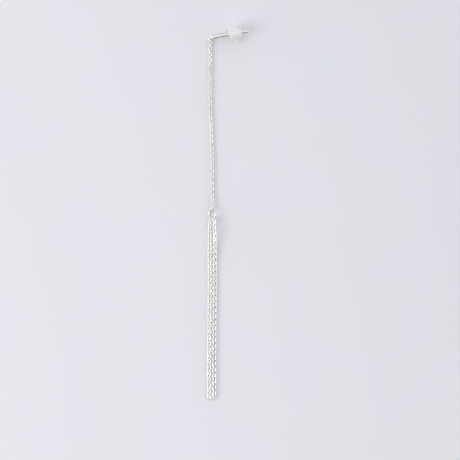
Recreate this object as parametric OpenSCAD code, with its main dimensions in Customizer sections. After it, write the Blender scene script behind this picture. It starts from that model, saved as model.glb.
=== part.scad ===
// Long chain earring, lying flat as it does on a table.
// A post with a soldered eyelet carries one fine cable chain. The chain carries a jump ring, and the ring a tassel
// of three strands of the same chain. Millimetres, Z up. The chain runs along Y, with the post at its +Y end and
// pointing to +X, and everything rests on the plane z = 0.

/* [Chain links] */
// Diameter of the links' wire
link_wire = 0.25; // [0.22:0.01:0.26]
// Length of one link, outside
link_length = 1.46; // [1.42:0.01:1.48]
// Width of one link, outside
link_width = 1.04; // [0.98:0.01:1.06]

/* [Upper chain] */
// Number of links between the eyelet and the jump ring, always odd
upper_links = 59; // [41:2:61]
// Distance from one link to the next
upper_pitch = 0.8; // [0.78:0.005:0.83]
// How far the chain drifts to the left on its way up from the jump ring
upper_drift = 0.58; // [0:0.01:1]

/* [Tassel] */
// Number of links in each strand
strand_links = 61; // [31:1:62]
// Distance from one link to the next
strand_pitch = 0.815; // [0.79:0.005:0.83]
// Distance between neighbouring strands where they lie side by side
strand_spacing = 0.8; // [0.78:0.01:1]
// How much higher the middle strand lies than the outer two
middle_lift = 0.23; // [0.2:0.01:0.4]
// How far the tassel drifts to the left towards its free ends
tassel_drift = 0.12; // [0:0.01:0.5]

/* [Jump ring] */
// Diameter of the ring, outside
ring_diameter = 2.92; // [2.8:0.02:3.2]
// Diameter of the ring's wire
ring_wire = 0.36; // [0.32:0.01:0.4]
// How steeply the ring stands on its left edge
ring_tilt = 47; // [45:1:50]

/* [Post] */
// Diameter of the post
post_diameter = 0.8; // [0.7:0.05:0.9]
// Length from the middle of the eyelet to the tip
post_length = 11.25; // [10.5:0.05:12.5]
// Direction of the post over the surface, from the X axis
post_heading = 8.3; // [0:0.1:12]
// Diameter of the eyelet, outside
eyelet_diameter = 1.24; // [1.2:0.01:1.4]
// Diameter of the eyelet's wire
eyelet_wire = 0.34; // [0.3:0.01:0.36]

/* [Back] */
// Diameter of the wide face on the ear's side
back_diameter = 5; // [4:0.1:5.6]
// Diameter of the narrow end
nose_diameter = 2.6; // [2:0.1:3]
// Length of the back along the post
back_length = 3; // [2.6:0.1:3.6]
// Distance from the middle of the eyelet to the wide face
back_at = 6.15; // [5.6:0.05:6.6]
// Gap all round between the post and the hole through the back
back_clearance = 0.03; // [0.01:0.01:0.1]

/* [Hidden] */

silver = [0.80, 0.80, 0.78];
silicone = [0.88, 0.89, 0.91];
curve_fn = 48;
nudge = 0.001;

// A link is two half rings of wire joined by two straight sides
wire_r = link_wire / 2;
bow_r = link_width / 2 - wire_r;
side_length = link_length - link_width;

// Lying links lean to the two sides in turn, square to their neighbours, and sway a few degrees about that
lean_left = -(90 - ring_tilt);
lean_right = ring_tilt;
sway = 1.7;
sway_step = 137.5;
sway_from = 3;
phase_step = 40;
lying_height = bow_r * sin(lean_right + sway) + wire_r;

// The ring stands on its left edge, with its highest point on the right
ring_r = (ring_diameter - ring_wire) / 2;
ring_height = ring_r * sin(ring_tilt) + ring_wire / 2;
ring_across = [cos(ring_tilt), 0, sin(ring_tilt)];
ring_normal = [-sin(ring_tilt), 0, cos(ring_tilt)];
ring_middle = [0, 0, ring_height];

// One row a strand: its side, its place around the ring, how its first link slants along the ring's wire and swings
// about it, and the lengths over which the strand settles sideways and down
SIDE = 0;
AROUND = 1;
SLANT = 2;
SWING = 3;
SETTLE_ASIDE = 4;
SETTLE_DOWN = 5;
left_row = [-1, -30.5, -20, -8, 2.9, 10.7];
middle_row = [0, 4, 14.5, 25.5, 5.7, 7.3];
right_row = [1, 32.5, 25, 0, 5.1, 12.9];
// The number of links over which the twist that the ring gives a strand fades
twist_links = 9;
// The stretch down the tassel where it drifts
tassel_bend_at = 15;
tassel_bend_length = 25;

// The upper chain comes down from the ring over ring_slope, drifts along the bend, and turns to the post at its end
ring_slope = 5;
upper_bend_at = 13.5;
upper_bend_length = 18;
post_turn = 3;
post_twist_links = 12;

// The back: its rim is rounded, and the flange runs into a tapered nose
back_r = back_diameter / 2;
nose_r = nose_diameter / 2;
bore_r = post_diameter / 2 + back_clearance;
rim_r = 0.35;
nose_round = 0.3;
flange_turn = 60;
taper_steps = 8;
taper_power = 1.5;

// The eyelet's wire passes through the first link, which stands on its edge. The back's rim holds the post up.
eyelet_r = (eyelet_diameter - eyelet_wire) / 2;
eyelet_height = link_width / 2;
rim_out = back_r - rim_r;
rim_along = back_at + rim_r;
post_lift = acos((eyelet_height - rim_r) / norm([rim_out, rim_along])) - atan2(rim_along, rim_out);
post_axis = [cos(post_lift) * cos(post_heading), cos(post_lift) * sin(post_heading), sin(post_lift)];
pull = [sin(post_heading), -cos(post_heading), 0];

// The post's shoulder at the eyelet, the notch that the back sits on, and the rounded tip
post_r = post_diameter / 2;
neck_r = 0.15;
shoulder_length = 0.6;
notch_at = back_at + 0.45;
notch_width = 0.6;
notch_depth = 0.07;
tip_round = 0.22;

function smooth(q) = let (c = max(0, min(1, q))) c * c * (3 - 2 * c);
function start_slope(q) = q < 1 ? q * (1 - q) * (1 - q) : 0;
function end_slope(q) = q > 0 ? q * q * (q - 1) : 0;
function unit(v) = v / norm(v);

// Routes give the chain's middle line at a distance s along Y
function pace(route, s) = norm(route(s + nudge) - route(s - nudge)) / (2 * nudge);
function heading(route, s) = unit(route(s + nudge) - route(s - nudge));
function steps(route, count, pitch) =
    [for (k = 0, s = 0; k < count; s = s + pitch / pace(route, s + pitch / 2), k = k + 1) s];

function lean(k, phase) =
    (k % 2 == 0 ? lean_left : lean_right) + sway * sin(sway_step * k + phase) * min(1, k / sway_from);

// A place is a link's middle, the direction of its length, and its lean about that direction
AT = 0;
HEADING = 1;
LEAN = 2;

// The upper chain, from the ring up. Near its end it turns and rises to meet the post, by the share of link k.
upper_reach = (upper_links - 1) * upper_pitch;
post_twist_from = upper_links - 2 - post_twist_links;
function post_share(k) = smooth((k - post_twist_from) / post_twist_links);
upper_route = function (s) [
    -upper_drift * smooth((s - upper_bend_at) / upper_bend_length)
        - tan(post_heading) * post_turn * end_slope((s - upper_reach + post_turn) / post_turn),
    ring_r + side_length / 2 + s,
    lying_height + (ring_height - lying_height) * (1 - smooth(s / ring_slope))
        + (eyelet_height - lying_height) * post_share(s / upper_pitch)
];
function upper_lean(k) = lean(k, 0) + (post_lift - ring_tilt) * post_share(k);
upper_steps = steps(upper_route, upper_links, upper_pitch);
upper_places = [
    for (k = [0 : upper_links - 1])
        k == upper_links - 1
            ? [upper_route(upper_steps[k]), pull, post_lift - 90]
            : [upper_route(upper_steps[k]), -heading(upper_route, upper_steps[k]), upper_lean(k)]
];
eyelet_at = upper_places[upper_links - 1][AT] - (side_length / 2 + eyelet_r) * pull;

// A strand, from the ring down: where its first link is and points, and the route from there to where it lies
function ring_radial(row) = sin(row[AROUND]) * ring_across - cos(row[AROUND]) * [0, 1, 0];
function ring_tangent(row) = cos(row[AROUND]) * ring_across + sin(row[AROUND]) * [0, 1, 0];
function first_heading(row) =
    cos(row[SLANT]) * (cos(row[SWING]) * ring_radial(row) - sin(row[SWING]) * ring_normal)
        - sin(row[SLANT]) * ring_tangent(row);
function first_middle(row) = ring_middle + ring_r * ring_radial(row) + side_length / 2 * first_heading(row);
function settle(from, to, slope, length, s) =
    to + (from - to) * (1 - smooth(s / length)) + slope * length * start_slope(s / length);
function strand_route(row) =
    let (
        top = first_middle(row),
        first = first_heading(row),
        line_x = row[SIDE] * strand_spacing,
        line_z = lying_height + (row[SIDE] == 0 ? middle_lift : 0)
    )
        function (s) [
            settle(top.x, line_x, -first.x / first.y, row[SETTLE_ASIDE], s)
                - tassel_drift * smooth((s - tassel_bend_at) / tassel_bend_length),
            top.y - s,
            settle(top.z, line_z, -first.z / first.y, row[SETTLE_DOWN], s)
        ];

// The lean that sets the first link square to the ring's wire
function first_lean(row) =
    let (
        down = first_heading(row),
        across = cross(ring_tangent(row), down),
        level = unit([-down.y, down.x, 0]),
        raised = cross(down, level)
    )
        atan2(across * raised, across * level);
function half_turn(angle) = angle - 180 * round(angle / 180);
function strand_places(row) =
    let (
        route = strand_route(row),
        along = steps(route, strand_links, strand_pitch),
        phase = phase_step * (row[SIDE] + 1),
        twist = half_turn(first_lean(row) - lean_left)
    )
        [
            for (k = [0 : strand_links - 1])
                [route(along[k]), heading(route, along[k]), lean(k, phase) + twist * (1 - smooth(k / twist_links))]
        ];
left_places = strand_places(left_row);
middle_places = strand_places(middle_row);
right_places = strand_places(right_row);

// The origin is the middle of the whole earring's box, on the surface that it lies on
lean_reach = bow_r * cos(lean_left) + wire_r;
back_reach = back_r * sqrt(1 - post_axis.y * post_axis.y);
x_low = min([for (place = left_places) place[AT].x]) - lean_reach;
x_high = eyelet_at.x + post_length * post_axis.x;
y_low = min([for (place = concat(left_places, middle_places, right_places)) place[AT].y]) - link_length / 2;
y_high = eyelet_at.y + (back_at + rim_r) * post_axis.y + back_reach;
origin_at = [(x_low + x_high) / 2, (y_low + y_high) / 2, 0];

module link() {
    for (turn = [0, 180])
        rotate([0, 0, turn]) {
            translate([side_length / 2, 0, 0])
                rotate([0, 0, -90])
                    rotate_extrude(angle = 180, $fn = curve_fn)
                        translate([bow_r, 0])
                            circle(r = wire_r, $fn = curve_fn);
            translate([-side_length / 2, bow_r, 0])
                rotate([0, 90, 0])
                    cylinder(r = wire_r, h = side_length, $fn = curve_fn);
        }
}

module chain(places) {
    for (place = places) {
        down = place[HEADING];
        translate(place[AT])
            rotate([place[LEAN], -asin(down.z), atan2(down.y, down.x)])
                link();
    }
}

module ring_of_wire(middle_r, wire) {
    rotate_extrude($fn = 2 * curve_fn)
        translate([middle_r, 0])
            circle(d = wire, $fn = curve_fn);
}

// Puts what is drawn along Z, from the eyelet's middle, along the post
module along_post() {
    translate(eyelet_at - origin_at)
        rotate([0, 90 - post_lift, post_heading])
            children();
}

module ear_post() {
    shoulder = [
        for (turn = [0 : 18 : 90])
            [neck_r + (post_r - neck_r) * sin(turn), eyelet_r + shoulder_length * (1 - cos(turn))]
    ];
    notch = [
        for (turn = [0 : 45 : 180])
            [post_r - notch_depth * sin(turn), notch_at - notch_width / 2 * cos(turn)]
    ];
    tip = [
        for (turn = [0 : 18 : 90])
            [post_r - tip_round * (1 - cos(turn)), post_length - tip_round * (1 - sin(turn))]
    ];
    color(silver)
        along_post() {
            rotate_extrude($fn = curve_fn)
                polygon(concat([[0, eyelet_r]], shoulder, notch, tip, [[0, post_length]]));
            rotate([0, 90, 0])
                ring_of_wire(eyelet_r, eyelet_wire);
        }
}

module ear_back() {
    rim = [
        for (turn = [-90 : 15 : flange_turn])
            [rim_out + rim_r * cos(turn), rim_r + rim_r * sin(turn)]
    ];
    flange_r = rim_out + rim_r * cos(flange_turn);
    flange_top = rim_r + rim_r * sin(flange_turn);
    nose_top = back_length - nose_round;
    taper = [
        for (k = [1 : taper_steps])
            let (q = k / taper_steps)
                [nose_r + (flange_r - nose_r) * pow(1 - q, taper_power), flange_top + (nose_top - flange_top) * q]
    ];
    nose = [
        for (turn = [15 : 15 : 90])
            [nose_r - nose_round * (1 - cos(turn)), nose_top + nose_round * sin(turn)]
    ];
    color(silicone)
        along_post()
            translate([0, 0, back_at])
                rotate_extrude($fn = 2 * curve_fn)
                    polygon(concat([[bore_r, 0]], rim, taper, nose, [[bore_r, back_length]]));
}

module upper_chain() {
    color(silver)
        translate(-origin_at)
            chain(upper_places);
}

module jump_ring() {
    color(silver)
        translate(ring_middle - origin_at)
            rotate([0, -ring_tilt, 0])
                ring_of_wire(ring_r, ring_wire);
}

module strand_left() {
    color(silver)
        translate(-origin_at)
            chain(left_places);
}

module strand_middle() {
    color(silver)
        translate(-origin_at)
            chain(middle_places);
}

module strand_right() {
    color(silver)
        translate(-origin_at)
            chain(right_places);
}

ear_post();
ear_back();
upper_chain();
jump_ring();
strand_left();
strand_middle();
strand_right();
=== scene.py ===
"""A long silver chain earring with a tassel of loose strands, lying flat, dressed around its solids."""

from math import acos, atan2, cos, hypot, pi, radians, sin, tan
from typing import NamedTuple

import bpy
from bpy.props import FloatProperty, FloatVectorProperty, IntProperty, PointerProperty
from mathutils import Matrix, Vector


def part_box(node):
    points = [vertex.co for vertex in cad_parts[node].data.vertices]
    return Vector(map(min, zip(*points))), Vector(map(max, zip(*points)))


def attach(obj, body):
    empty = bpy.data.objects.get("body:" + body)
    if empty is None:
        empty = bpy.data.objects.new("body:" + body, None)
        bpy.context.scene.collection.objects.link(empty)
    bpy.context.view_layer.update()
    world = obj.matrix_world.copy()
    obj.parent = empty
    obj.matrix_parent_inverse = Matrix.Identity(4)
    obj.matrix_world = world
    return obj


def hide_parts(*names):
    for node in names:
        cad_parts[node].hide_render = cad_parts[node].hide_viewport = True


bl_info = {
    "name": "Chain Earring",
    "version": (1, 0, 0),
    "blender": (4, 5, 0),
    "location": "3D View > Sidebar > Earring",
    "description": "Builds a long chain earring with a post, a soft back and a tassel of three strands",
    "category": "Add Mesh",
}

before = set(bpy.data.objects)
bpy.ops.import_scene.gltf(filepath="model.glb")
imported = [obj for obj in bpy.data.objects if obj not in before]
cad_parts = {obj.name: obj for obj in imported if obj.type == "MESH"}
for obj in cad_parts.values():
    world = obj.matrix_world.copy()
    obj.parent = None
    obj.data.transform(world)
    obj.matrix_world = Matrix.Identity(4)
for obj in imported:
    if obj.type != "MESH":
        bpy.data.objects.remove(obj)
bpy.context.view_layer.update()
MM = 0.001
Y_AXIS = Vector((0, 1, 0))

# The links lean to the two sides in turn, and sway a little about that
SWAY = radians(1.7)
SWAY_STEP = radians(137.5)
SWAY_FROM = 3
PHASE_STEP = radians(40)

# The upper chain comes down from the ring, drifts along a bend, and turns to the post at its end
RING_SLOPE = 5 * MM
UPPER_BEND_AT = 13.5 * MM
UPPER_BEND_LENGTH = 18 * MM
POST_TURN = 3 * MM
POST_TWIST_LINKS = 12

# The twist that the ring gives a strand fades, and the tassel drifts on its way to its free ends
RING_TWIST_LINKS = 9
TASSEL_BEND_AT = 15 * MM
TASSEL_BEND_LENGTH = 25 * MM

# The steps of the meshes: around the wire, around each bow of a link, along its sides, and those of the soft back
WIRE_SIDES = 12
BOW_STEPS = 12
SIDE_STEPS = 4
TURNED_STEPS = 96
ARC_STEPS = 10
TAPER_STEPS = 32

# The soft back: how far its rim turns before the taper, how the taper falls, and the rounding of its hole's mouths
FLANGE_TURN = radians(60)
TAPER_POWER = 1.5
MOUTH_ROUND = 0.07 * MM

# The join in each link's side, where its wire is soldered, is a little thicker
SOLDER_LENGTH = 0.16 * MM
SOLDER_SWELL = 0.07

# Dulled silver: where its blotches and specks start and end in their noise, how much finer and weaker the specks
# are, and how much rougher it is than clean silver
BLOTCHES_FROM = 0.42
BLOTCHES_TO = 0.68
SPECKS_FROM = 0.6
SPECKS_TO = 0.72
SPECKS_FINER = 9.0
SPECKS_SHARE = 0.6
DULL_ROUGHER = 1.3

# Scratches: how their noise is drawn out in each direction, and how fine and ragged it is
SCRATCH_STRETCH = (0.12, 0.12, 1)
SCRATCH_DETAIL = 4.0
SCRATCH_RAGGED = 0.7

# Silicone: the colour of its milky patches, and where they start and are full in the noise of its haze
MILKY = (0.97, 0.96, 0.935, 1)
HAZE_SCALE = 380.0
MILKY_FROM = 0.35
MILKY_TO = 0.7
# Where in that noise it is smoothest and roughest, and how rough it is there
SMOOTH_FROM = 0.3
ROUGH_TO = 0.75
SMOOTHEST = 0.38
ROUGHEST = 0.5
# How much it bends light, how much of it is clear, and how far it covers what is behind it
SILICONE_IOR = 1.41
SILICONE_CLEAR = 0.4
SILICONE_COVER = 0.6
# The scale, depth and strength of its soft dents
SILICONE_DENT_SCALE = 800.0
SILICONE_DENT_DEPTH = 0.02 * MM
SILICONE_DENTS = 0.12

# The detail of the softer noises, with no fine grain in them
SOFT_DETAIL = 2.0

# The floor: how its warmer patches differ from its colour, their size and edges, its gloss, and its reach
FLOOR_WARMTH = (1.005, 0.995, 0.985)
MOTTLE_SCALE = 40.0
MOTTLE_FROM = 0.35
MOTTLE_TO = 0.65
FLOOR_ROUGHNESS = 0.85
FLOOR_SHINE = 0.15
FLOOR_REACH = 1.5

# The sky's colour at the horizon, and from SKY_RISE up
SKY_LOW = (0.43, 0.44, 0.465, 1)
SKY_HIGH = (1.0, 1.01, 1.05, 1)
SKY_RISE = 0.45

# The key light's diameter, distance and colour
KEY_SIZE = 0.3
KEY_REACH = 0.5
KEY_COLOUR = (1.0, 0.985, 0.96)

# The lens in millimetres, the picture's width in pixels, and where the jump ring's middle is in it
LENS = 180
PICTURE_WIDTH = 460
RING_IN_PICTURE = (212.3, 214.3)


class StrandRow(NamedTuple):
    """One strand: its side, its place around the ring, its first link's slant and swing there, and its settling."""
    node: str
    side: int
    around: float
    slant: float
    swing: float
    settle_aside: float
    settle_down: float


STRANDS = (
    StrandRow("strand_left", -1, radians(-30.5), radians(-20), radians(-8), 2.9 * MM, 10.7 * MM),
    StrandRow("strand_middle", 0, radians(4), radians(14.5), radians(25.5), 5.7 * MM, 7.3 * MM),
    StrandRow("strand_right", 1, radians(32.5), radians(25), 0, 5.1 * MM, 12.9 * MM),
)


class Wear(NamedTuple):
    """How silver has worn: how far it has dulled, which also paints the whole piece darker as painted shade, the
    scales of its blotches and dents, and the dents' depth.
    """
    dulled: float
    blotch_scale: float
    dent_scale: float
    dent_depth: float


# Each piece's dulling amount also paints it. The post, the jump ring and the upper chain are dulled more, which
# paints them darker as painted shade. The tassel is dulled less, which leaves it lighter as painted light against the
# shade between its strands.
POST_WEAR_AND_SHADE = Wear(1, 420, 1500, 0.003 * MM)
RING_WEAR_AND_SHADE = Wear(1, 420, 1500, 0.012 * MM)
UPPER_WEAR_AND_SHADE = Wear(0.9, 700, 2600, 0.03 * MM)
TASSEL_WEAR_AND_LIGHT = Wear(0.3, 700, 2600, 0.03 * MM)


class SkyPanel(NamedTuple):
    """A soft-edged round part of the sky: where it is, the angles at which it is full and ends, and its colour."""
    turn: float
    height: float
    inner: float
    outer: float
    colour: tuple


SKY_PANELS = (
    # The far side, and the dimmer right side
    SkyPanel(radians(110), radians(35), radians(15), radians(45), (0.66, 0.66, 0.665)),
    SkyPanel(radians(0), radians(32), radians(18), radians(42), (0.65, 0.655, 0.68)),
    # The wall over the key light
    SkyPanel(radians(182), radians(52), radians(10), radians(26), (0.5, 0.5, 0.5)),
    # The dark end of the room at the near side
    SkyPanel(radians(264), radians(30), radians(36), radians(48), (0.13, 0.115, 0.09)),
    # The camera and its stand overhead
    SkyPanel(0, radians(90), radians(12), radians(24), (0.65, 0.65, 0.66)),
)


def direction(turn, height):
    """The direction at an angle from the X axis over the floor and at a height over the horizon."""
    return Vector((cos(height) * cos(turn), cos(height) * sin(turn), sin(height)))


class Place(NamedTuple):
    """Where one link lies: its middle, the direction of its length, and its lean about that direction."""
    at: Vector
    heading: Vector
    lean: float


class EarringChainSizes(bpy.types.PropertyGroup):
    """Sizes of the links and of the chains"""
    wire: FloatProperty(name="Wire", description="Diameter of the links' wire", default=0.25 * MM, unit="LENGTH")
    link_length: FloatProperty(
        name="Link length", description="Length of one link, outside", default=1.46 * MM, unit="LENGTH")
    link_width: FloatProperty(
        name="Link width", description="Width of one link, outside", default=1.04 * MM, unit="LENGTH")
    upper_links: IntProperty(
        name="Upper links", description="Number of links between the eyelet and the jump ring", default=59)
    upper_pitch: FloatProperty(
        name="Upper pitch", description="Distance from one link of the upper chain to the next",
        default=0.8 * MM, unit="LENGTH")
    upper_drift: FloatProperty(
        name="Upper drift", description="How far the upper chain drifts to the left on its way up",
        default=0.58 * MM, unit="LENGTH")
    strand_links: IntProperty(name="Strand links", description="Number of links in each strand", default=61)
    strand_pitch: FloatProperty(
        name="Strand pitch", description="Distance from one link of a strand to the next",
        default=0.815 * MM, unit="LENGTH")
    strand_spacing: FloatProperty(
        name="Strand spacing", description="Distance between neighbouring strands", default=0.8 * MM, unit="LENGTH")
    middle_lift: FloatProperty(
        name="Middle lift", description="How much higher the middle strand lies", default=0.23 * MM, unit="LENGTH")
    tassel_drift: FloatProperty(
        name="Tassel drift", description="How far the tassel drifts to the left towards its free ends",
        default=0.12 * MM, unit="LENGTH")


class EarringMetalSizes(bpy.types.PropertyGroup):
    """Sizes of the jump ring, the post and the eyelet"""
    ring_diameter: FloatProperty(
        name="Ring diameter", description="Diameter of the jump ring, outside", default=2.92 * MM, unit="LENGTH")
    ring_wire: FloatProperty(
        name="Ring wire", description="Diameter of the jump ring's wire", default=0.36 * MM, unit="LENGTH")
    ring_tilt: FloatProperty(
        name="Ring tilt", description="How steeply the ring stands on its left edge",
        default=radians(47), subtype="ANGLE")
    post_diameter: FloatProperty(
        name="Post diameter", description="Diameter of the post", default=0.8 * MM, unit="LENGTH")
    post_length: FloatProperty(
        name="Post length", description="Length from the middle of the eyelet to the tip",
        default=11.25 * MM, unit="LENGTH")
    post_heading: FloatProperty(
        name="Post heading", description="Direction of the post over the surface",
        default=radians(8.3), subtype="ANGLE")
    eyelet_diameter: FloatProperty(
        name="Eyelet diameter", description="Diameter of the eyelet, outside", default=1.24 * MM, unit="LENGTH")
    eyelet_wire: FloatProperty(
        name="Eyelet wire", description="Diameter of the eyelet's wire", default=0.34 * MM, unit="LENGTH")


class EarringBackSizes(bpy.types.PropertyGroup):
    """Sizes of the soft back"""
    diameter: FloatProperty(
        name="Diameter", description="Diameter of the wide face on the ear's side", default=5 * MM, unit="LENGTH")
    rim: FloatProperty(name="Rim", description="Rounding radius of the rim", default=0.35 * MM, unit="LENGTH")
    nose_diameter: FloatProperty(
        name="Nose diameter", description="Diameter of the narrow end", default=2.6 * MM, unit="LENGTH")
    nose_round: FloatProperty(
        name="Nose rounding", description="Rounding radius of the narrow end", default=0.3 * MM, unit="LENGTH")
    length: FloatProperty(name="Length", description="Length along the post", default=3 * MM, unit="LENGTH")
    clearance: FloatProperty(
        name="Clearance", description="Gap all round between the post and the hole", default=0.03 * MM, unit="LENGTH")
    at: FloatProperty(
        name="Place", description="Distance from the middle of the eyelet to the wide face",
        default=6.15 * MM, unit="LENGTH")


class EarringFinish(bpy.types.PropertyGroup):
    """Colours and gloss of the silver and of the silicone"""
    # Painted light: the tassel's clean silver is lighter than the same silver on the other pieces, against the shade
    # between its strands.
    silver: FloatVectorProperty(
        name="Silver", description="Colour of the tassel's clean silver", default=(0.985, 0.98, 0.965),
        subtype="COLOR", min=0, max=1)
    # Painted shade: the post's and the upper chain's clean silver is darker and warmer than the tassel's, though it
    # is the same silver.
    warm_shaded_silver: FloatVectorProperty(
        name="Warm silver", description="Colour of the clean silver of the other pieces, which are handled more",
        default=(0.945, 0.93, 0.875), subtype="COLOR", min=0, max=1)
    # Painted shade: the jump ring's clean silver is darker all over than the same silver on the other pieces.
    ring_shaded_silver: FloatVectorProperty(
        name="Ring silver", description="Colour of the jump ring's clean silver, the warmest and darkest",
        default=(0.74, 0.68, 0.61), subtype="COLOR", min=0, max=1)
    # The dulled colour lies in blotches on the tassel. At the higher amounts it darkens the post, the jump ring and
    # the upper chain as painted shade.
    worn_and_shaded_silver: FloatVectorProperty(
        name="Worn silver", description="Colour of the silver where it has dulled", default=(0.80, 0.77, 0.71),
        subtype="COLOR", min=0, max=1)
    chain_roughness: FloatProperty(
        name="Chain roughness", description="Roughness of the chains' silver", default=0.34, min=0, max=1,
        subtype="FACTOR")
    post_roughness: FloatProperty(
        name="Post roughness", description="Roughness of the post's and the ring's silver", default=0.16,
        min=0, max=1, subtype="FACTOR")
    silicone: FloatVectorProperty(
        name="Silicone", description="Colour of the soft back", default=(0.98, 0.98, 0.975), subtype="COLOR",
        min=0, max=1)


class EarringStage(bpy.types.PropertyGroup):
    """The floor, the light and the camera"""
    floor: FloatVectorProperty(
        name="Floor", description="Colour of the pale floor", default=(0.70, 0.704, 0.745), subtype="COLOR",
        min=0, max=1)
    key_strength: FloatProperty(name="Key light", description="Power of the key light, in watts", default=0.95)
    key_height: FloatProperty(
        name="Key height", description="Height of the key light over the horizon",
        default=radians(36), subtype="ANGLE")
    key_turn: FloatProperty(
        name="Key turn", description="Direction of the key light over the floor, from the X axis",
        default=radians(195), subtype="ANGLE")
    sky_strength: FloatProperty(name="Sky", description="Strength of the soft light all round", default=1.46)
    view_width: FloatProperty(
        name="View width", description="Width of the floor that the camera sees", default=126.5 * MM, unit="LENGTH")


def smooth(q):
    """Rises from 0 to 1 as q does, level at both ends."""
    c = max(0.0, min(1.0, q))
    return c * c * (3 - 2 * c)


def start_slope(q):
    """Starts at 0 with a slope of 1 and fades to 0 at q = 1."""
    return q * (1 - q) ** 2 if q < 1 else 0.0


def end_slope(q):
    """Stays 0 up to q = 0 and comes back to 0 at q = 1 with a slope of 1."""
    return q * q * (q - 1) if q > 0 else 0.0


def settle(start, end, slope, length, s):
    """Goes from start, with a slope there, to end over a length."""
    return end + (start - end) * (1 - smooth(s / length)) + slope * length * start_slope(s / length)


class Drape:
    """Where each link, the eyelet and the post lie. The floor point under the jump ring's middle is at `floor`."""

    def __init__(self, chain, metal, back):
        self.chain = chain
        self.metal = metal
        self.wire_r = chain.wire / 2
        self.bow_r = chain.link_width / 2 - self.wire_r
        self.side = chain.link_length - chain.link_width
        tilt = metal.ring_tilt
        self.lying_height = self.bow_r * sin(tilt + SWAY) + self.wire_r
        self.ring_r = (metal.ring_diameter - metal.ring_wire) / 2
        self.ring_middle = Vector((0, 0, self.ring_r * sin(tilt) + metal.ring_wire / 2))
        self.ring_across = Vector((cos(tilt), 0, sin(tilt)))
        self.ring_normal = Vector((-sin(tilt), 0, cos(tilt)))
        low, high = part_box("jump_ring")
        self.floor = Vector(((low[0] + high[0]) / 2, (low[1] + high[1]) / 2, 0))
        self.eyelet_r = (metal.eyelet_diameter - metal.eyelet_wire) / 2
        self.eyelet_height = chain.link_width / 2
        out, along = back.diameter / 2 - back.rim, back.at + back.rim
        self.post_lift = acos((self.eyelet_height - back.rim) / hypot(out, along)) - atan2(along, out)
        self.pull = Vector((sin(metal.post_heading), -cos(metal.post_heading), 0))
        self.post_axis = direction(metal.post_heading, self.post_lift)
        self.upper = self.upper_places()
        self.eyelet = self.upper[-1].at - (self.side / 2 + self.eyelet_r) * self.pull

    def lean(self, k, phase):
        """The lean of link k in a lying chain."""
        base = self.metal.ring_tilt - (pi / 2 if k % 2 == 0 else 0)
        return base + SWAY * sin(SWAY_STEP * k + phase) * min(1, k / SWAY_FROM)

    def walk(self, route, count, pitch):
        """The middles and headings of links along a route, a pitch apart."""
        nudge = 0.001 * MM

        def change(s):
            return route(s + nudge) - route(s - nudge)

        s = 0.0
        for _ in range(count):
            yield route(s), change(s).normalized()
            s += pitch * 2 * nudge / change(s + pitch / 2).length

    def upper_share(self, k):
        """How far link k has turned to meet the post, from 0 to 1."""
        return smooth((k - (self.chain.upper_links - 2 - POST_TWIST_LINKS)) / POST_TWIST_LINKS)

    def upper_route(self, s):
        """The upper chain's middle line at s along Y, from the ring up."""
        reach = (self.chain.upper_links - 1) * self.chain.upper_pitch
        turn = tan(self.metal.post_heading) * POST_TURN * end_slope((s - reach + POST_TURN) / POST_TURN)
        drop = (self.ring_middle.z - self.lying_height) * (1 - smooth(s / RING_SLOPE))
        rise = (self.eyelet_height - self.lying_height) * self.upper_share(s / self.chain.upper_pitch)
        return Vector((
            -self.chain.upper_drift * smooth((s - UPPER_BEND_AT) / UPPER_BEND_LENGTH) - turn,
            self.ring_r + self.side / 2 + s,
            self.lying_height + drop + rise,
        ))

    def upper_places(self):
        """The places of the upper chain's links. The last one holds the eyelet and stands on its edge."""
        places = []
        steps = self.walk(self.upper_route, self.chain.upper_links, self.chain.upper_pitch)
        for k, (at, up) in enumerate(steps):
            turn = (self.post_lift - self.metal.ring_tilt) * self.upper_share(k)
            places.append(Place(at, -up, self.lean(k, 0) + turn))
        places[-1] = Place(places[-1].at, self.pull, self.post_lift - pi / 2)
        return places

    def strand_places(self, row):
        """The places of a strand's links, from the ring down."""
        radial = sin(row.around) * self.ring_across - cos(row.around) * Y_AXIS
        tangent = cos(row.around) * self.ring_across + sin(row.around) * Y_AXIS
        swung = cos(row.swing) * radial - sin(row.swing) * self.ring_normal
        first = cos(row.slant) * swung - sin(row.slant) * tangent
        top = self.ring_middle + self.ring_r * radial + self.side / 2 * first
        line_x = row.side * self.chain.strand_spacing
        line_z = self.lying_height + (self.chain.middle_lift if row.side == 0 else 0)

        def route(s):
            drift = self.chain.tassel_drift * smooth((s - TASSEL_BEND_AT) / TASSEL_BEND_LENGTH)
            return Vector((
                settle(top.x, line_x, -first.x / first.y, row.settle_aside, s) - drift,
                top.y - s,
                settle(top.z, line_z, -first.z / first.y, row.settle_down, s),
            ))

        across = tangent.cross(first)
        level = Vector((-first.y, first.x, 0)).normalized()
        first_lean = atan2(across.dot(first.cross(level)), across.dot(level))
        twist = first_lean - self.lean(0, 0)
        twist -= pi * round(twist / pi)
        phase = PHASE_STEP * (row.side + 1)
        steps = self.walk(route, self.chain.strand_links, self.chain.strand_pitch)
        return [
            Place(at, down, self.lean(k, phase) + twist * (1 - smooth(k / RING_TWIST_LINKS)))
            for k, (at, down) in enumerate(steps)
        ]


def drape():
    """The drape that the scene's own sizes give."""
    scene = bpy.context.scene
    return Drape(scene.earring_chain, scene.earring_metal, scene.earring_back)


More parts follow.
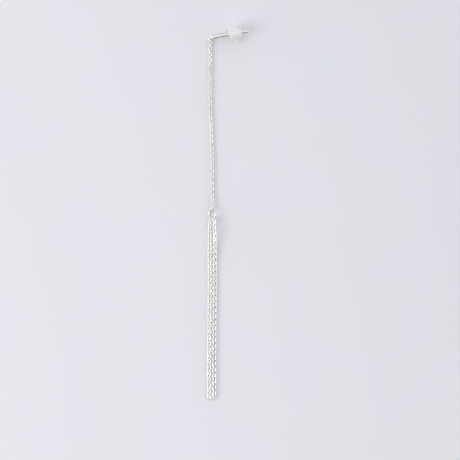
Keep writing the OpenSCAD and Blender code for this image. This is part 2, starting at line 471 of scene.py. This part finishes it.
def link_line(shape):
    """One link's middle line about its own middle, its length along X: (point, outward, wire radius) all round."""
    line = []
    for end in (1, -1):
        for step in range(BOW_STEPS + 1):
            turn = pi * (step / BOW_STEPS - 0.5)
            out = end * Vector((cos(turn), sin(turn), 0))
            line.append((Vector((end * shape.side / 2, 0, 0)) + shape.bow_r * out, out, shape.wire_r))
        for step in range(1, SIDE_STEPS):
            x = end * shape.side * (0.5 - step / SIDE_STEPS)
            swell = SOLDER_SWELL * smooth(1 - abs(x) / SOLDER_LENGTH) if end == 1 else 0
            line.append((Vector((x, end * shape.bow_r, 0)), end * Y_AXIS, shape.wire_r * (1 + swell)))
    return line


def tube_faces(rings, sides, first=0):
    """The faces of a closed tube of that many rings, whose points start at `first`."""
    return [
        (
            first + ring * sides + side,
            first + (ring + 1) % rings * sides + side,
            first + (ring + 1) % rings * sides + (side + 1) % sides,
            first + ring * sides + (side + 1) % sides,
        )
        for ring in range(rings)
        for side in range(sides)
    ]


def finish_mesh(name, points, faces, material, body, node):
    """Makes a smooth mesh piece that rides on a body and stands for a solid."""
    mesh = bpy.data.meshes.new(name)
    mesh.from_pydata(points, [], faces)
    mesh.validate()
    mesh.shade_smooth()
    mesh.materials.append(material)
    piece = bpy.data.objects.new(name, mesh)
    bpy.context.scene.collection.objects.link(piece)
    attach(piece, body)
    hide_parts(node)
    return piece


def chain_piece(name, node, shape, places, material):
    """One chain as a single mesh: the same link at every place."""
    line = link_line(shape)
    around = [2 * pi * side / WIRE_SIDES for side in range(WIRE_SIDES)]
    points, faces = [], []
    for place in places:
        level = Vector((-place.heading.y, place.heading.x, 0)).normalized()
        raised = place.heading.cross(level)
        across = cos(place.lean) * level + sin(place.lean) * raised
        normal = place.heading.cross(across)
        faces += tube_faces(len(line), WIRE_SIDES, len(points))
        middle = shape.floor + place.at
        for point, out, wire_r in line:
            centre = middle + point.x * place.heading + point.y * across
            outward = out.x * place.heading + out.y * across
            points += [centre + wire_r * (cos(turn) * outward + sin(turn) * normal) for turn in around]
    piece = finish_mesh(name, points, faces, material, "earring", node)


def arc(out, along, radius, start, end):
    """Points on an arc about a middle, from one angle to another."""
    turns = [start + (end - start) * step / ARC_STEPS for step in range(ARC_STEPS + 1)]
    return [(out + radius * cos(turn), along + radius * sin(turn)) for turn in turns]


def back_outline(back, bore_r):
    """The soft back's outline, all round: (distance from the post's middle line, distance along it)."""
    nose_r, nose_top = back.nose_diameter / 2, back.length - back.nose_round
    outline = arc(back.diameter / 2 - back.rim, back.rim, back.rim, -pi / 2, FLANGE_TURN)
    flange_r, flange_top = outline[-1]
    for step in range(1, TAPER_STEPS):
        q = step / TAPER_STEPS
        out = nose_r + (flange_r - nose_r) * (1 - q) ** TAPER_POWER
        outline.append((out, flange_top + (nose_top - flange_top) * q))
    outline += arc(nose_r - back.nose_round, nose_top, back.nose_round, 0, pi / 2)
    outline += arc(bore_r + MOUTH_ROUND, back.length - MOUTH_ROUND, MOUTH_ROUND, pi / 2, pi)
    outline += arc(bore_r + MOUTH_ROUND, MOUTH_ROUND, MOUTH_ROUND, pi, 1.5 * pi)
    return outline


def soft_back(back, metal, shape, material):
    """The soft back, turned about the post's middle line."""
    outline = back_outline(back, metal.post_diameter / 2 + back.clearance)
    start = shape.floor + shape.eyelet + back.at * shape.post_axis
    level = Vector((-shape.post_axis.y, shape.post_axis.x, 0)).normalized()
    raised = shape.post_axis.cross(level)
    points = []
    for step in range(TURNED_STEPS):
        turn = 2 * pi * step / TURNED_STEPS
        outward = cos(turn) * level + sin(turn) * raised
        points += [start + along * shape.post_axis + out * outward for out, along in outline]
    faces = tube_faces(TURNED_STEPS, len(outline))
    piece = finish_mesh("soft_back", points, faces, material, "back", "ear_back")


def make(tree, kind, inputs=None, **settings):
    """Adds a node, changes its settings, and sets or links its inputs by name or number."""
    node = tree.nodes.new(kind)
    for name, value in settings.items():
        setattr(node, name, value)
    for name, value in (inputs or {}).items():
        if isinstance(value, bpy.types.NodeSocket):
            tree.links.new(value, node.inputs[name])
        else:
            node.inputs[name].default_value = value
    return node


def new_group(name, inputs, outputs):
    """A shader node group with named inputs (name, type, default) and outputs (name, type)."""
    tree = bpy.data.node_groups.new(name, "ShaderNodeTree")
    for label, kind, default in inputs:
        socket = tree.interface.new_socket(name=label, in_out="INPUT", socket_type=kind)
        socket.default_value = default
    for label, kind in outputs:
        tree.interface.new_socket(name=label, in_out="OUTPUT", socket_type=kind)
    return tree, tree.nodes.new("NodeGroupInput").outputs, tree.nodes.new("NodeGroupOutput")


def noise(tree, vector, scale, detail=3.0, roughness=0.55):
    """A noise texture's value."""
    inputs = {"Vector": vector, "Scale": scale, "Detail": detail, "Roughness": roughness}
    return make(tree, "ShaderNodeTexNoise", inputs).outputs["Fac"]


def spread(tree, value, low, high, to_low=0.0, to_high=1.0):
    """Stretches a value from one range to another, clamped."""
    inputs = {"Value": value, "From Min": low, "From Max": high, "To Min": to_low, "To Max": to_high}
    return make(tree, "ShaderNodeMapRange", inputs).outputs["Result"]


def calculate(tree, operation, first, second):
    """The result of a sum on two values."""
    return make(tree, "ShaderNodeMath", {0: first, 1: second}, operation=operation).outputs[0]


def blend_colours(tree, share, first, second):
    """A mix of two colours."""
    return make(tree, "ShaderNodeMix", {0: share, 6: first, 7: second}, data_type="RGBA").outputs[2]


def dulling_group():
    """Silver that has dulled in soft blotches and small specks: a colour and a roughness."""
    name = "Dulled silver"
    if name in bpy.data.node_groups:
        return bpy.data.node_groups[name]
    tree, given, result = new_group(
        name,
        [
            ("Vector", "NodeSocketVector", (0, 0, 0)),
            ("Clean", "NodeSocketColor", (0.9, 0.9, 0.9, 1)),
            ("Dull", "NodeSocketColor", (0.7, 0.7, 0.7, 1)),
            ("Blotch Scale", "NodeSocketFloat", 900.0),
            ("Amount", "NodeSocketFloat", 0.5),
            ("Clean Roughness", "NodeSocketFloat", 0.15),
            ("Dull Roughness", "NodeSocketFloat", 0.35),
        ],
        [("Colour", "NodeSocketColor"), ("Roughness", "NodeSocketFloat")],
    )
    blotches = spread(tree, noise(tree, given["Vector"], given["Blotch Scale"]), BLOTCHES_FROM, BLOTCHES_TO)
    fine = calculate(tree, "MULTIPLY", given["Blotch Scale"], SPECKS_FINER)
    specks = spread(tree, noise(tree, given["Vector"], fine, SOFT_DETAIL), SPECKS_FROM, SPECKS_TO, 0, SPECKS_SHARE)
    share = calculate(tree, "MULTIPLY", calculate(tree, "MAXIMUM", blotches, specks), given["Amount"])
    tree.links.new(blend_colours(tree, share, given["Clean"], given["Dull"]), result.inputs["Colour"])
    rough = spread(tree, share, 0, 1, given["Clean Roughness"], given["Dull Roughness"])
    tree.links.new(rough, result.inputs["Roughness"])
    return tree


def wear_group():
    """Fine scratches over soft dents, as a height."""
    name = "Fine wear"
    if name in bpy.data.node_groups:
        return bpy.data.node_groups[name]
    tree, given, result = new_group(
        name,
        [
            ("Vector", "NodeSocketVector", (0, 0, 0)),
            ("Dent Scale", "NodeSocketFloat", 1500.0),
            ("Scratch Scale", "NodeSocketFloat", 9000.0),
            ("Scratches", "NodeSocketFloat", 0.3),
        ],
        [("Height", "NodeSocketFloat")],
    )
    dents = noise(tree, given["Vector"], given["Dent Scale"], SOFT_DETAIL)
    drawn = make(tree, "ShaderNodeMapping", {"Vector": given["Vector"], "Scale": SCRATCH_STRETCH})
    lines = noise(tree, drawn.outputs["Vector"], given["Scratch Scale"], SCRATCH_DETAIL, SCRATCH_RAGGED)
    scratches = calculate(tree, "MULTIPLY", lines, given["Scratches"])
    tree.links.new(calculate(tree, "ADD", dents, scratches), result.inputs["Height"])
    return tree


def new_material(name):
    """An empty material with a Principled shader: (material, node tree, shader)."""
    material = bpy.data.materials.new(name)
    material.use_nodes = True
    tree = material.node_tree
    tree.nodes.clear()
    shader = make(tree, "ShaderNodeBsdfPrincipled")
    output = make(tree, "ShaderNodeOutputMaterial")
    tree.links.new(shader.outputs["BSDF"], output.inputs["Surface"])
    return material, tree, shader


def wear_bump(tree, vector, shader, strength, dent_scale, dent_depth):
    """Gives a material the fine wear as a bump."""
    wear = make(tree, "ShaderNodeGroup", node_tree=wear_group())
    tree.links.new(vector, wear.inputs["Vector"])
    wear.inputs["Dent Scale"].default_value = dent_scale
    inputs = {"Height": wear.outputs["Height"], "Strength": strength, "Distance": dent_depth}
    bump = make(tree, "ShaderNodeBump", inputs)
    tree.links.new(bump.outputs["Normal"], shader.inputs["Normal"])


def silver_material(name, clean, roughness, wear):
    """Polished silver, dulled a little in blotches and specks; the amount of dulling also paints the piece darker as
    painted shade.
    """
    finish = bpy.context.scene.earring_finish
    material, tree, shader = new_material(name)
    where = make(tree, "ShaderNodeTexCoord").outputs["Object"]
    dulling = make(tree, "ShaderNodeGroup", node_tree=dulling_group())
    tree.links.new(where, dulling.inputs["Vector"])
    values = {
        "Clean": (*clean, 1),
        "Dull": (*finish.worn_and_shaded_silver, 1),
        "Blotch Scale": wear.blotch_scale,
        "Amount": wear.dulled,
        "Clean Roughness": roughness,
        "Dull Roughness": DULL_ROUGHER * roughness,
    }
    for label, value in values.items():
        dulling.inputs[label].default_value = value
    tree.links.new(dulling.outputs["Colour"], shader.inputs["Base Color"])
    tree.links.new(dulling.outputs["Roughness"], shader.inputs["Roughness"])
    shader.inputs["Metallic"].default_value = 1.0
    wear_bump(tree, where, shader, 1.0, wear.dent_scale, wear.dent_depth)
    return material


def clear_silicone():
    """Clear, slightly milky silicone."""
    finish = bpy.context.scene.earring_finish
    material, tree, shader = new_material("clear_silicone")
    where = make(tree, "ShaderNodeTexCoord").outputs["Object"]
    haze = noise(tree, where, HAZE_SCALE)
    colour = blend_colours(tree, spread(tree, haze, MILKY_FROM, MILKY_TO), (*finish.silicone, 1), MILKY)
    tree.links.new(colour, shader.inputs["Base Color"])
    tree.links.new(spread(tree, haze, SMOOTH_FROM, ROUGH_TO, SMOOTHEST, ROUGHEST), shader.inputs["Roughness"])
    shader.inputs["IOR"].default_value = SILICONE_IOR
    shader.inputs["Transmission Weight"].default_value = SILICONE_CLEAR
    shader.inputs["Alpha"].default_value = SILICONE_COVER
    wear_bump(tree, where, shader, SILICONE_DENTS, SILICONE_DENT_SCALE, SILICONE_DENT_DEPTH)
    return material


def pale_floor():
    """Matt pale board with the faintest mottling."""
    stage = bpy.context.scene.earring_stage
    material, tree, shader = new_material("pale_floor")
    where = make(tree, "ShaderNodeTexCoord").outputs["Object"]
    cool = (*stage.floor, 1)
    warm = (*(channel * tone for channel, tone in zip(stage.floor, FLOOR_WARMTH)), 1)
    mottle = spread(tree, noise(tree, where, MOTTLE_SCALE, SOFT_DETAIL), MOTTLE_FROM, MOTTLE_TO)
    tree.links.new(blend_colours(tree, mottle, cool, warm), shader.inputs["Base Color"])
    shader.inputs["Roughness"].default_value = FLOOR_ROUGHNESS
    shader.inputs["Specular IOR Level"].default_value = FLOOR_SHINE
    return material


def refinish(node, material):
    """Gives a solid of the frame its finish in place of the plain one."""
    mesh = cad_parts[node].data
    mesh.materials.clear()
    mesh.materials.append(material)


class EARRING_OT_post(bpy.types.Operator):
    """Finish the post and its eyelet in polished silver"""
    bl_idname = "earring.post"
    bl_label = "Post and eyelet"

    def execute(self, context):
        finish = context.scene.earring_finish
        # The post's silver is dulled all over and darker than the tassel's: painted shade.
        silver = silver_material("post_shaded_silver", finish.warm_shaded_silver, finish.post_roughness, POST_WEAR_AND_SHADE)
        refinish("ear_post", silver)
        return {"FINISHED"}


class EARRING_OT_back(bpy.types.Operator):
    """Build the soft back in clear silicone"""
    bl_idname = "earring.back"
    bl_label = "Soft back"

    def execute(self, context):
        soft_back(context.scene.earring_back, context.scene.earring_metal, drape(), clear_silicone())
        return {"FINISHED"}


class EARRING_OT_ring(bpy.types.Operator):
    """Finish the jump ring in polished silver"""
    bl_idname = "earring.ring"
    bl_label = "Jump ring"

    def execute(self, context):
        finish = context.scene.earring_finish
        # The jump ring's silver is the darkest and is dulled all over: painted shade.
        silver = silver_material("ring_shaded_silver", finish.ring_shaded_silver, finish.post_roughness, RING_WEAR_AND_SHADE)
        refinish("jump_ring", silver)
        return {"FINISHED"}


class EARRING_OT_upper_chain(bpy.types.Operator):
    """Build the single chain between the eyelet and the jump ring"""
    bl_idname = "earring.upper_chain"
    bl_label = "Upper chain"

    def execute(self, context):
        finish = context.scene.earring_finish
        # The upper chain's silver is dulled more than the tassel's, which paints it darker: painted shade.
        silver = silver_material("upper_shaded_silver", finish.warm_shaded_silver, finish.chain_roughness, UPPER_WEAR_AND_SHADE)
        shape = drape()
        chain_piece("upper_chain_links", "upper_chain", shape, shape.upper, silver)
        return {"FINISHED"}


class EARRING_OT_tassel(bpy.types.Operator):
    """Build the three strands of the tassel"""
    bl_idname = "earring.tassel"
    bl_label = "Tassel strands"

    def execute(self, context):
        finish = context.scene.earring_finish
        # The tassel's silver is the lightest and least dulled: painted light against the shade between its strands.
        silver = silver_material("tassel_lit_silver", finish.silver, finish.chain_roughness, TASSEL_WEAR_AND_LIGHT)
        shape = drape()
        for row in STRANDS:
            chain_piece(row.node + "_links", row.node, shape, shape.strand_places(row), silver)
        return {"FINISHED"}


def studio_sky(strength):
    """Soft light all round, with the panels of SKY_PANELS in it."""
    world = bpy.data.worlds.new("studio_sky")
    world.use_nodes = True
    tree = world.node_tree
    tree.nodes.clear()
    where = make(tree, "ShaderNodeTexCoord").outputs["Generated"]
    height = make(tree, "ShaderNodeSeparateXYZ", {"Vector": where}).outputs["Z"]
    colour = blend_colours(tree, spread(tree, height, 0, SKY_RISE), SKY_LOW, SKY_HIGH)
    for panel in SKY_PANELS:
        dot = make(
            tree, "ShaderNodeVectorMath", {0: where, 1: direction(panel.turn, panel.height)}, operation="DOT_PRODUCT")
        share = spread(tree, dot.outputs["Value"], cos(panel.outer), cos(panel.inner))
        colour = blend_colours(tree, share, colour, (*panel.colour, 1))
    background = make(tree, "ShaderNodeBackground", {"Color": colour, "Strength": strength})
    output = make(tree, "ShaderNodeOutputWorld")
    tree.links.new(background.outputs["Background"], output.inputs["Surface"])
    bpy.context.scene.world = world


def key_light(stage):
    """A round soft box, low on the left."""
    data = bpy.data.lights.new("key_light", "AREA")
    data.shape = "DISK"
    data.size = KEY_SIZE
    data.energy = stage.key_strength
    data.color = KEY_COLOUR
    light = bpy.data.objects.new("key_light", data)
    away = direction(stage.key_turn, stage.key_height)
    light.location = KEY_REACH * away
    light.rotation_mode = "QUATERNION"
    light.rotation_quaternion = away.to_track_quat("Z", "Y")
    bpy.context.scene.collection.objects.link(light)


def floor_sheet():
    """A wide level floor, which isn't part of the earring."""
    corners = [(x * FLOOR_REACH, y * FLOOR_REACH, 0) for x, y in ((-1, -1), (1, -1), (1, 1), (-1, 1))]
    mesh = bpy.data.meshes.new("floor_sheet")
    mesh.from_pydata(corners, [], [(0, 1, 2, 3)])
    mesh.materials.append(pale_floor())
    floor = bpy.data.objects.new("floor_sheet", mesh)
    bpy.context.scene.collection.objects.link(floor)


def overhead_camera(stage):
    """A long lens that looks straight down, with the jump ring where the photograph has it."""
    data = bpy.data.cameras.new("overhead_camera")
    data.lens = LENS
    camera = bpy.data.objects.new("overhead_camera", data)
    pixel = stage.view_width / PICTURE_WIDTH
    ring = drape().floor
    right_of_ring, below_ring = (PICTURE_WIDTH / 2 - place for place in RING_IN_PICTURE)
    height = stage.view_width * data.lens / data.sensor_width
    camera.location = (ring.x + right_of_ring * pixel, ring.y - below_ring * pixel, height)
    bpy.context.scene.collection.objects.link(camera)
    bpy.context.scene.camera = camera


class EARRING_OT_stage(bpy.types.Operator):
    """Set up the pale floor, the light and the camera"""
    bl_idname = "earring.stage"
    bl_label = "Stage"

    def execute(self, context):
        stage = context.scene.earring_stage
        floor_sheet()
        studio_sky(stage.sky_strength)
        key_light(stage)
        overhead_camera(stage)
        context.scene.view_settings.view_transform = "Standard"
        return {"FINISHED"}


PIECES = (EARRING_OT_post, EARRING_OT_back, EARRING_OT_ring, EARRING_OT_upper_chain, EARRING_OT_tassel)
SETTINGS = (
    ("earring_chain", EarringChainSizes),
    ("earring_metal", EarringMetalSizes),
    ("earring_back", EarringBackSizes),
    ("earring_finish", EarringFinish),
    ("earring_stage", EarringStage),
)


class EARRING_PT_panel(bpy.types.Panel):
    """The earring's pieces, sizes and finishes"""
    bl_label = "Chain Earring"
    bl_idname = "EARRING_PT_panel"
    bl_space_type = "VIEW_3D"
    bl_region_type = "UI"
    bl_category = "Earring"

    def draw(self, context):
        for name, group in SETTINGS:
            box = self.layout.box()
            box.label(text=group.__doc__)
            settings = getattr(context.scene, name)
            for field in group.__annotations__:
                box.prop(settings, field)
        for operator in (*PIECES, EARRING_OT_stage):
            self.layout.operator(operator.bl_idname)


def register():
    """Adds the settings, the operators and the panel."""
    for name, group in SETTINGS:
        bpy.utils.register_class(group)
        setattr(bpy.types.Scene, name, PointerProperty(type=group))
    for each in (*PIECES, EARRING_OT_stage, EARRING_PT_panel):
        bpy.utils.register_class(each)


def unregister():
    """Takes them away again."""
    for each in reversed((*PIECES, EARRING_OT_stage, EARRING_PT_panel)):
        bpy.utils.unregister_class(each)
    for name, group in reversed(SETTINGS):
        delattr(bpy.types.Scene, name)
        bpy.utils.unregister_class(group)


def main():
    """Registers everything and builds the earring and its stage."""
    register()
    bpy.ops.earring.stage()
    bpy.ops.earring.post()
    bpy.ops.earring.back()
    bpy.ops.earring.ring()
    bpy.ops.earring.upper_chain()
    bpy.ops.earring.tassel()


if __name__ == "__main__":
    main()
